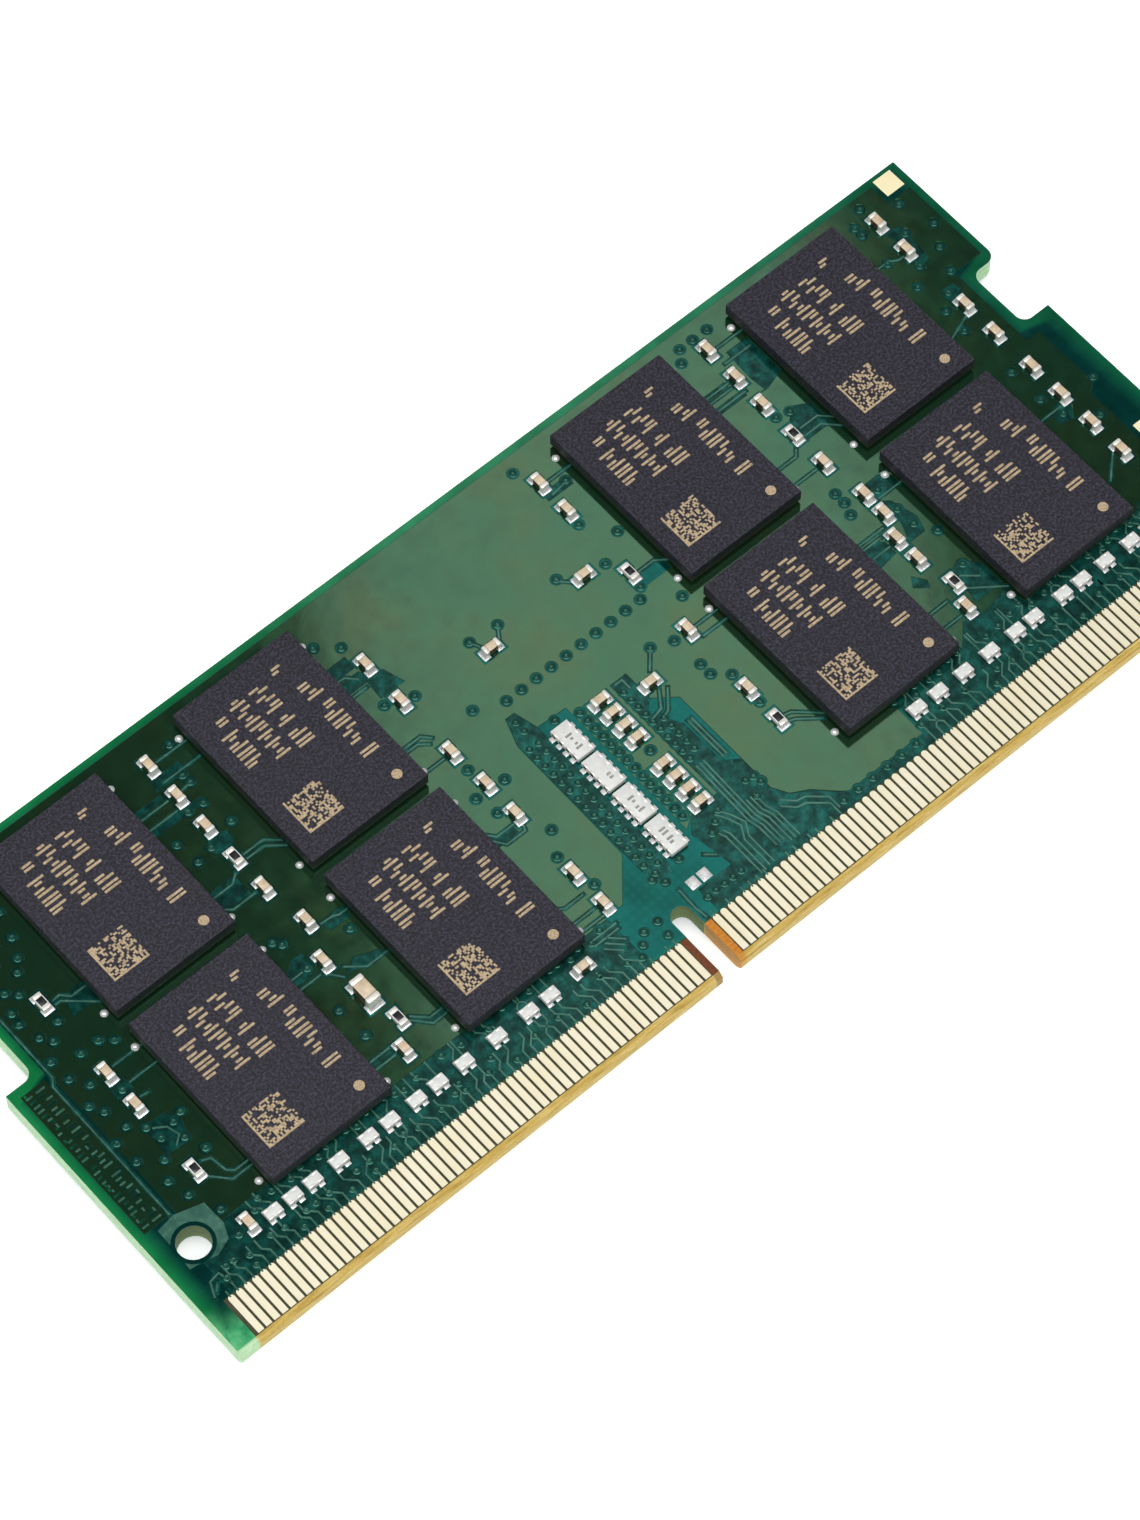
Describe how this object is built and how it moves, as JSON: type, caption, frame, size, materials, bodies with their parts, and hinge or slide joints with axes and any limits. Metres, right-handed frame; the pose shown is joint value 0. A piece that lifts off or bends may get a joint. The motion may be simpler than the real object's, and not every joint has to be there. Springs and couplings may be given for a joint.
{
  "type": "laptop memory module",
  "caption": "Double-sided small-outline memory module: green circuit board with gold edge contacts, a key slot, latch notches and black memory chips.",
  "frame": {"origin": "middle of the bounding box in X and Y, on the plane of the lower chips' outer faces", "axes": "+X along the length of the board, +Y from the contact edge to the far edge, +Z out of the face with the resistor arrays"},
  "size_m": [0.0696, 0.03, 0.0034],
  "materials": {
    "laminate": "satin",
    "copper": "satin",
    "solder_mask": "gloss",
    "gold_plating": "satin",
    "substrate": "satin",
    "moulding": "matte",
    "resistor_coat": "satin",
    "solder_tin": "satin",
    "capacitor_ceramic": "matte",
    "white_ceramic": "matte"
  },
  "bodies": {
    "root": {"lower_laminate": "laminate", "middle_laminate": "laminate", "upper_laminate": "laminate", "ground_plane": "copper", "supply_plane": "copper", "upper_solder_mask": "solder_mask", "lower_solder_mask": "solder_mask", "upper_contacts_left": "gold_plating", "upper_contacts_right": "gold_plating", "lower_contacts_left": "gold_plating", "lower_contacts_right": "gold_plating", "upper_chip_1": "moulding", "upper_chip_2": "moulding", "upper_chip_3": "moulding", "upper_chip_4": "moulding", "upper_chip_5": "moulding", "upper_chip_6": "moulding", "upper_chip_7": "moulding", "upper_chip_8": "moulding", "lower_chip_1": "moulding", "lower_chip_2": "moulding", "lower_chip_3": "moulding", "lower_chip_4": "moulding", "lower_chip_5": "moulding", "lower_chip_6": "moulding", "lower_chip_7": "moulding", "lower_chip_8": "moulding", "upper_chip_substrates": "substrate", "lower_chip_substrates": "substrate", "upper_solder_balls": "solder_tin", "lower_solder_balls": "solder_tin", "upper_capacitors": "capacitor_ceramic", "upper_capacitor_ends": "solder_tin", "lower_capacitors": "capacitor_ceramic", "lower_capacitor_ends": "solder_tin", "bulk_capacitor": "capacitor_ceramic", "bulk_capacitor_ends": "solder_tin", "upper_resistors": "white_ceramic", "upper_resistor_coats": "resistor_coat", "upper_resistor_ends": "solder_tin", "lower_resistors": "white_ceramic", "lower_resistor_coats": "resistor_coat", "lower_resistor_ends": "solder_tin", "upper_resistor_pairs": "white_ceramic", "upper_resistor_pair_ends": "solder_tin", "lower_resistor_pairs": "white_ceramic", "lower_resistor_pair_ends": "solder_tin", "resistor_arrays": "white_ceramic", "resistor_array_ends": "solder_tin", "upper_solder_lands": "solder_tin", "lower_solder_lands": "solder_tin", "gold_pads": "gold_plating", "upper_corner_bumps": "solder_tin", "lower_corner_bumps": "solder_tin", "configuration_chip": "moulding", "configuration_chip_leads": "solder_tin"}
  },
  "joints": []
}
